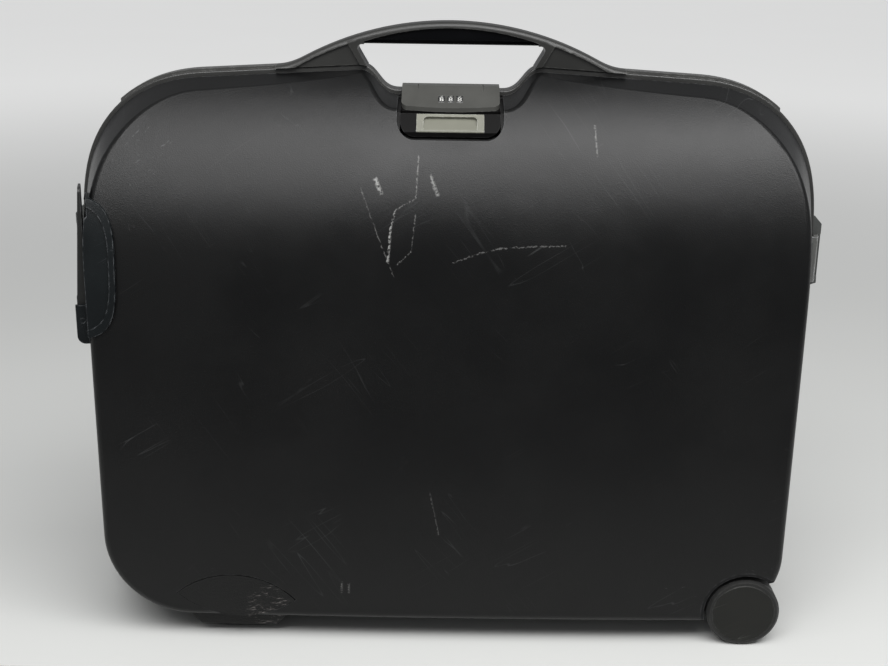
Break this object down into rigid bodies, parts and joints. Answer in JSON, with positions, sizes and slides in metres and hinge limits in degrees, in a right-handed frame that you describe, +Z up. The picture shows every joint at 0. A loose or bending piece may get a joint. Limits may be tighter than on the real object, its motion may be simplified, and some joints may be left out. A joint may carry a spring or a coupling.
{
  "type": "hard-shell suitcase",
  "caption": "Hard-shell suitcase with an arched carry handle, a number lock, side latches, a hinged lid, a swing-out pull handle, corner wheels and skid feet.",
  "frame": {"origin": "middle of the footprint on the floor, where the halves part", "axes": "+X along the case to the wheels' side, the lid faces -Y, +Z up"},
  "size_m": [0.755, 0.2082, 0.609],
  "materials": {
    "shell": "charcoal, fine grain with a soft sheen",
    "rim": "satin black, one fine groove",
    "gasket": "plain black",
    "trim": "satin black",
    "handle": "charcoal, satin",
    "grip": "soft black",
    "steel": "plain brushed",
    "well": "black, worn at the lip",
    "tyre": "black, scuffed",
    "hub": "satin black",
    "foot": "black with pale scuffs",
    "lining": "woven dark grey",
    "strap": "woven black",
    "buckle": "satin black",
    "lock": "glossy black",
    "cover": "satin charcoal",
    "button": "pale grey-green",
    "dial": "black with pale numerals",
    "latch": "charcoal",
    "latch_lever": "light grey",
    "pull_base": "blue-grey tray with a pale rim",
    "pull_arm": "charcoal"
  },
  "bodies": {
    "case": {"back_shell": "shell", "rim_frame": "rim", "rim_gasket": "gasket", "trim_strip_left": "trim", "trim_strip_right": "trim", "carry_handle": "handle", "grip_pad": "grip", "handle_screws": "steel", "case_hinge_leaf_left": "steel", "case_hinge_leaf_right": "steel", "hinge_pin_left": "steel", "hinge_pin_right": "steel", "case_hinge_rivets": "steel", "foot_back": "foot", "wheel_well_back": "well", "wheel_axle_back": "steel", "lining_back": "lining", "packing_straps": "strap", "strap_buckles": "buckle", "latch_base_left": "latch", "latch_base_right": "latch", "latch_pin_left": "steel", "latch_pin_right": "steel", "lock_strike": "steel"},
    "lid": {"front_shell": "shell", "lock_housing": "lock", "lock_flange": "lock", "lock_cover": "cover", "dial_axle": "steel", "lock_lever_pin": "steel", "hook_pin": "steel", "hook_spring": "steel", "lid_hinge_leaf_left": "steel", "lid_hinge_leaf_right": "steel", "lid_hinge_rivets": "steel", "foot_front": "foot", "wheel_well_front": "well", "wheel_axle_front": "steel", "lining_front": "lining", "latch_strike_left": "latch", "latch_strike_right": "latch", "pull_base": "pull_base", "pull_pin": "steel"},
    "lock_lever": {"lock_lever": "button"},
    "lock_hook": {"lock_hook": "steel"},
    "dial_left": {"number_dial_left": "dial"},
    "dial_middle": {"number_dial_middle": "dial"},
    "dial_right": {"number_dial_right": "dial"},
    "latch_left": {"latch_lever_left": "latch_lever"},
    "latch_right": {"latch_lever_right": "latch_lever"},
    "pull_arm": {"pull_arm": "pull_arm"},
    "wheel_front": {"wheel_tyre_front": "tyre", "wheel_hub_front": "hub"},
    "wheel_back": {"wheel_tyre_back": "tyre", "wheel_hub_back": "hub"}
  },
  "joints": [
    {"name": "lid_hinge", "type": "hinge", "parent": "case", "child": "lid", "pos_m": [0, 0.0006, 0.008], "axis": [1, 0, 0], "range_deg": [0, 100]},
    {"name": "lock_lever_turn", "type": "hinge", "parent": "lid", "child": "lock_lever", "pos_m": [0, -0.05296, 0.51379], "axis": [1, 0, 0], "range_deg": [0, 35], "stiffness_Nm_per_rad": 0.05},
    {"name": "lock_hook_turn", "type": "hinge", "parent": "lid", "child": "lock_hook", "pos_m": [0, -0.034, 0.515], "axis": [1, 0, 0], "range_deg": [-7, 0]},
    {"name": "dial_left_turn", "type": "hinge", "parent": "lid", "child": "dial_left", "pos_m": [-0.0086, -0.01412, 0.53232], "axis": [1, 0, 0], "continuous": true},
    {"name": "dial_middle_turn", "type": "hinge", "parent": "lid", "child": "dial_middle", "pos_m": [0, -0.01412, 0.53232], "axis": [1, 0, 0], "continuous": true},
    {"name": "dial_right_turn", "type": "hinge", "parent": "lid", "child": "dial_right", "pos_m": [0.0086, -0.01412, 0.53232], "axis": [1, 0, 0], "continuous": true},
    {"name": "latch_left_swing", "type": "hinge", "parent": "case", "child": "latch_left", "pos_m": [-0.365, 0.021, 0.385], "axis": [0, 0, -1], "range_deg": [0, 75]},
    {"name": "latch_right_swing", "type": "hinge", "parent": "case", "child": "latch_right", "pos_m": [0.365, 0.021, 0.385], "axis": [0, 0, 1], "range_deg": [0, 75]},
    {"name": "pull_swing", "type": "hinge", "parent": "lid", "child": "pull_arm", "pos_m": [-0.34709, -0.07518, 0.337], "axis": [0.2149, -0.9766, 0], "range_deg": [0, 100]},
    {"name": "wheel_front_turn", "type": "hinge", "parent": "lid", "child": "wheel_front", "pos_m": [0.304, -0.08, 0.0365], "axis": [0, 1, 0], "continuous": true},
    {"name": "wheel_back_turn", "type": "hinge", "parent": "case", "child": "wheel_back", "pos_m": [0.304, 0.08, 0.0365], "axis": [0, 1, 0], "continuous": true}
  ],
  "couplings": [
    {"joint": "lock_hook_turn", "follows": "lock_lever_turn", "ratio": -0.2}
  ]
}
